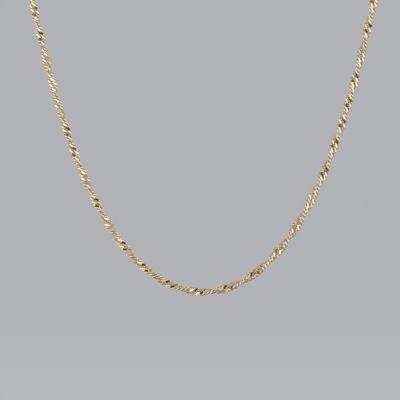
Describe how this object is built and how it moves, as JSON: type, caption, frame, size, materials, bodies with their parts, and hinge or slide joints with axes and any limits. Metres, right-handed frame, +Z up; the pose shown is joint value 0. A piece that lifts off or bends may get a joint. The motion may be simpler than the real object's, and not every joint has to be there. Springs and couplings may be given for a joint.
{
  "type": "twisted curb chain necklace",
  "caption": "Necklace of fine twisted curb chain in polished yellow gold, hanging in one long narrow drop and closed behind the neck by two jump rings and a round clasp.",
  "frame": {"origin": "the point at the nape where the back of the neck touches the jump rings, midway between the chain's two ends", "axes": "+Z up as worn, -Y from the nape to the front where the drop hangs, +X to the right of someone looking at the front; the necklace mirrors about X = 0 apart from the clasp"},
  "size_m": [0.1076, 0.1007, 0.1106],
  "materials": {
    "chain": "polished yellow gold, small flats cut bright across the links",
    "rings": "polished yellow gold",
    "clasp": "polished yellow gold"
  },
  "bodies": {
    "root": {"chain": "chain", "left_ring": "rings", "right_ring": "rings", "clasp": "clasp"}
  },
  "joints": []
}
